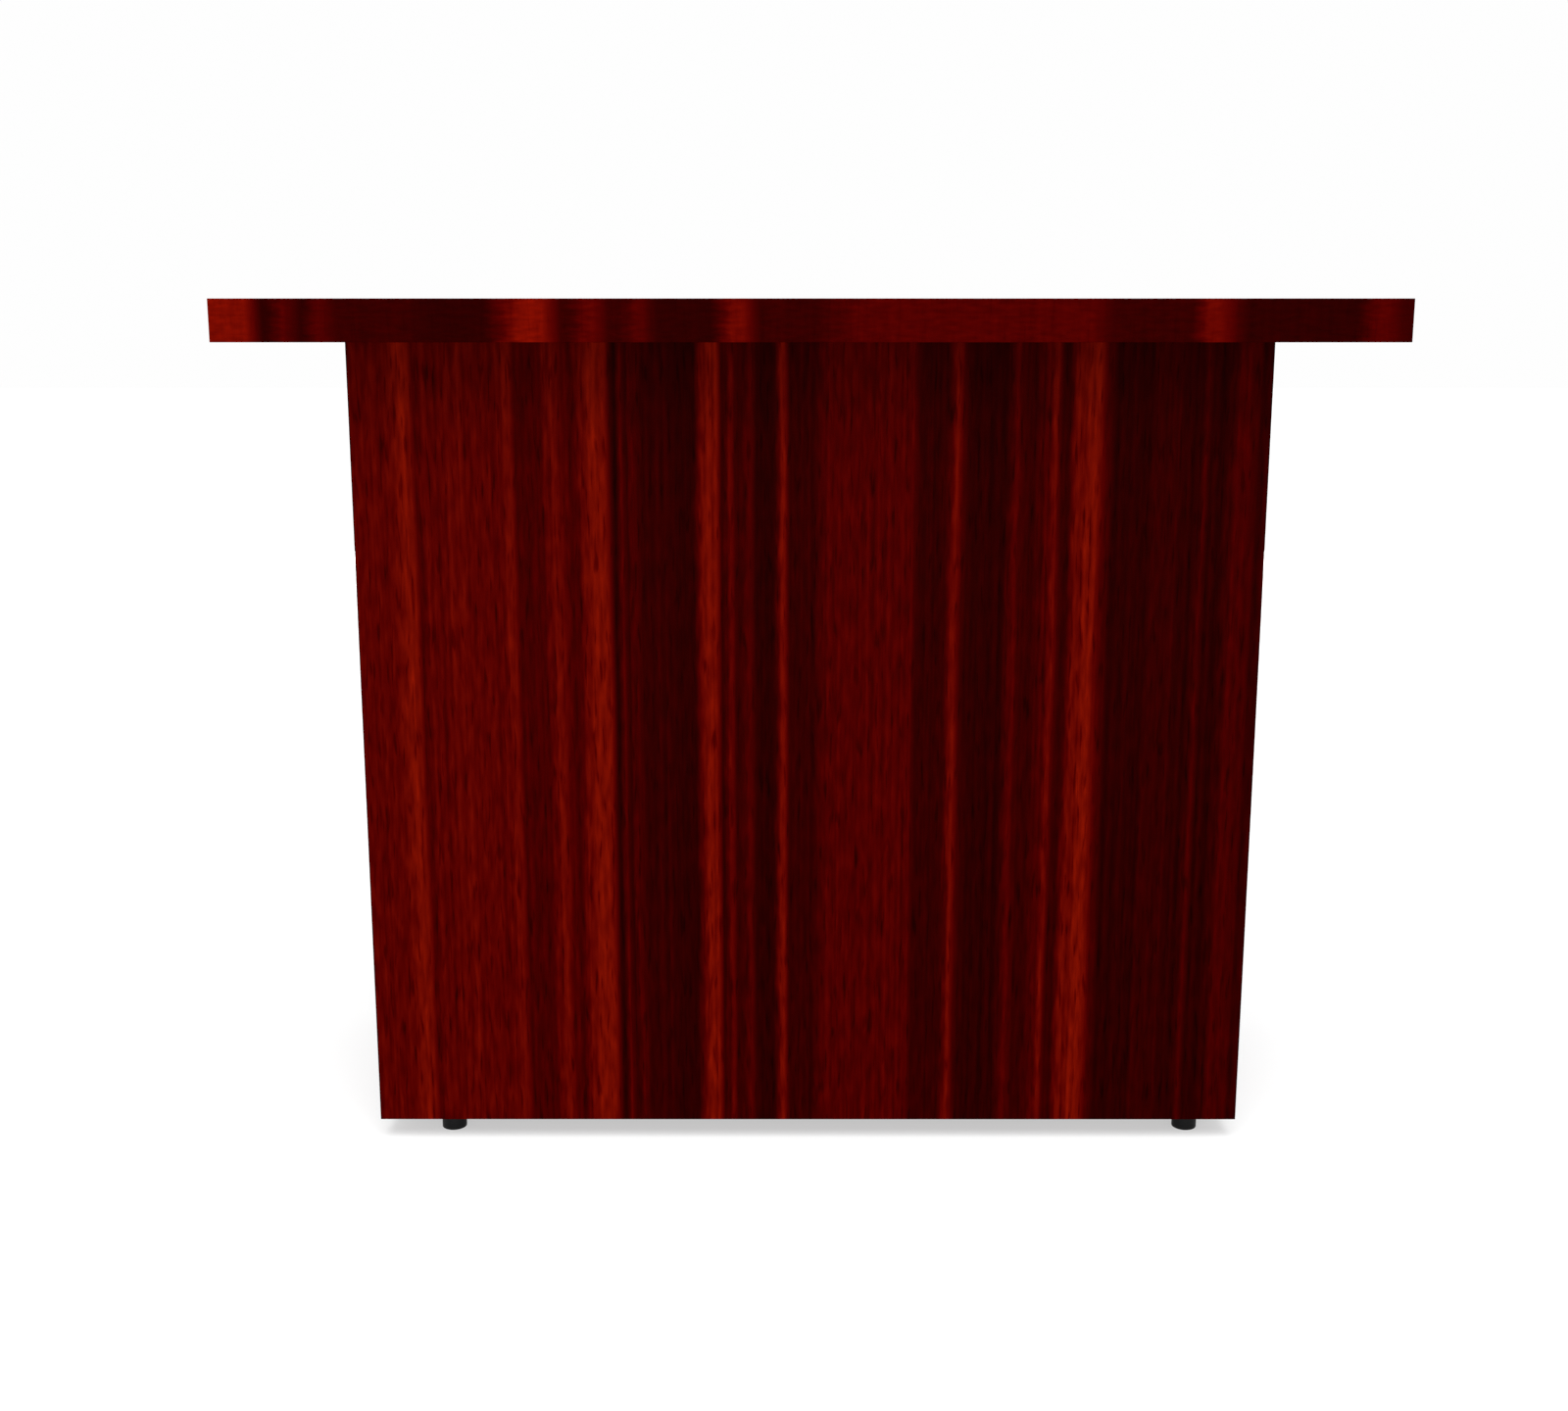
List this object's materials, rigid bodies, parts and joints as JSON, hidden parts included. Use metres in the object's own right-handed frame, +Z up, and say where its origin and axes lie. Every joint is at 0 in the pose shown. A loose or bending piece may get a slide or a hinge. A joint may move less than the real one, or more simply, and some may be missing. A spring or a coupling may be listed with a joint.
{
  "type": "wooden pulpit",
  "caption": "Broad standing pulpit with a thick overhanging flat top, a closed mahogany front, an open back with a book shelf, and screw-adjusted levelling feet.",
  "frame": {"origin": "on the floor, below the middle of the desk top", "axes": "+Z up, the front faces -Y, and +X is to the right as seen from the front"},
  "size_m": [1.4, 0.6, 1.0733],
  "materials": {
    "mahogany_veneer": "satin lacquer over dark red ribbon-striped veneer",
    "mahogany_lipping": "satin lacquer, matched to the veneer",
    "softwood_batten": "planed, unfinished",
    "beech_dowel": "turned, unfinished",
    "steel_hardware": "bright zinc plate",
    "zinc_fittings": "as cast or plain plated",
    "black_plastic": "moulded, fine matt texture"
  },
  "bodies": {
    "cabinet": {"top_lower_board": "mahogany_veneer", "top_upper_board": "mahogany_veneer", "front_panel": "mahogany_veneer", "left_side_panel": "mahogany_veneer", "right_side_panel": "mahogany_veneer", "rear_rail": "mahogany_veneer", "base_panel": "mahogany_veneer", "book_shelf": "mahogany_veneer", "top_front_edge_band": "mahogany_lipping", "top_rear_edge_band": "mahogany_lipping", "top_left_edge_band": "mahogany_lipping", "top_right_edge_band": "mahogany_lipping", "front_panel_left_lipping": "mahogany_lipping", "front_panel_right_lipping": "mahogany_lipping", "left_side_rear_lipping": "mahogany_lipping", "right_side_rear_lipping": "mahogany_lipping", "base_rear_lipping": "mahogany_lipping", "shelf_rear_lipping": "mahogany_lipping", "front_cleat": "softwood_batten", "left_cleat": "softwood_batten", "right_cleat": "softwood_batten", "top_screw_front_left": "steel_hardware", "top_screw_front_right": "steel_hardware", "top_screw_left_fore": "steel_hardware", "top_screw_left_aft": "steel_hardware", "top_screw_right_fore": "steel_hardware", "top_screw_right_aft": "steel_hardware", "shelf_pin_front_left": "steel_hardware", "shelf_pin_front_right": "steel_hardware", "shelf_pin_rear_left": "steel_hardware", "shelf_pin_rear_right": "steel_hardware", "cam_left_1": "zinc_fittings", "cam_left_2": "zinc_fittings", "cam_left_3": "zinc_fittings", "cam_right_1": "zinc_fittings", "cam_right_2": "zinc_fittings", "cam_right_3": "zinc_fittings", "cam_bolt_left_1": "zinc_fittings", "cam_bolt_left_2": "zinc_fittings", "cam_bolt_left_3": "zinc_fittings", "cam_bolt_right_1": "zinc_fittings", "cam_bolt_right_2": "zinc_fittings", "cam_bolt_right_3": "zinc_fittings", "dowel_left_1": "beech_dowel", "dowel_left_2": "beech_dowel", "dowel_right_1": "beech_dowel", "dowel_right_2": "beech_dowel", "foot_insert_front_left": "zinc_fittings", "foot_insert_front_right": "zinc_fittings", "foot_insert_rear_left": "zinc_fittings", "foot_insert_rear_right": "zinc_fittings"},
    "pad_front_left": {"foot_pad_front_left": "black_plastic"},
    "stem_front_left": {"foot_stem_front_left": "steel_hardware"},
    "pad_front_right": {"foot_pad_front_right": "black_plastic"},
    "stem_front_right": {"foot_stem_front_right": "steel_hardware"},
    "pad_rear_left": {"foot_pad_rear_left": "black_plastic"},
    "stem_rear_left": {"foot_stem_rear_left": "steel_hardware"},
    "pad_rear_right": {"foot_pad_rear_right": "black_plastic"},
    "stem_rear_right": {"foot_stem_rear_right": "steel_hardware"}
  },
  "joints": [
    {"name": "level_front_left", "type": "slide", "parent": "cabinet", "child": "pad_front_left", "axis": [0, 0, -1], "range_m": [0, 0.012]},
    {"name": "turn_front_left", "type": "hinge", "parent": "pad_front_left", "child": "stem_front_left", "pos_m": [-0.4685, -0.194, 0], "axis": [0, 0, -1], "range_deg": [0, 2880]},
    {"name": "level_front_right", "type": "slide", "parent": "cabinet", "child": "pad_front_right", "axis": [0, 0, -1], "range_m": [0, 0.012]},
    {"name": "turn_front_right", "type": "hinge", "parent": "pad_front_right", "child": "stem_front_right", "pos_m": [0.4995, -0.194, 0], "axis": [0, 0, -1], "range_deg": [0, 2880]},
    {"name": "level_rear_left", "type": "slide", "parent": "cabinet", "child": "pad_rear_left", "axis": [0, 0, -1], "range_m": [0, 0.012]},
    {"name": "turn_rear_left", "type": "hinge", "parent": "pad_rear_left", "child": "stem_rear_left", "pos_m": [-0.4685, 0.181, 0], "axis": [0, 0, -1], "range_deg": [0, 2880]},
    {"name": "level_rear_right", "type": "slide", "parent": "cabinet", "child": "pad_rear_right", "axis": [0, 0, -1], "range_m": [0, 0.012]},
    {"name": "turn_rear_right", "type": "hinge", "parent": "pad_rear_right", "child": "stem_rear_right", "pos_m": [0.4995, 0.181, 0], "axis": [0, 0, -1], "range_deg": [0, 2880]}
  ],
  "couplings": [
    {"joint": "turn_front_left", "follows": "level_front_left", "rad_per_m": 4188.8},
    {"joint": "turn_front_right", "follows": "level_front_right", "rad_per_m": 4188.8},
    {"joint": "turn_rear_left", "follows": "level_rear_left", "rad_per_m": 4188.8},
    {"joint": "turn_rear_right", "follows": "level_rear_right", "rad_per_m": 4188.8}
  ]
}
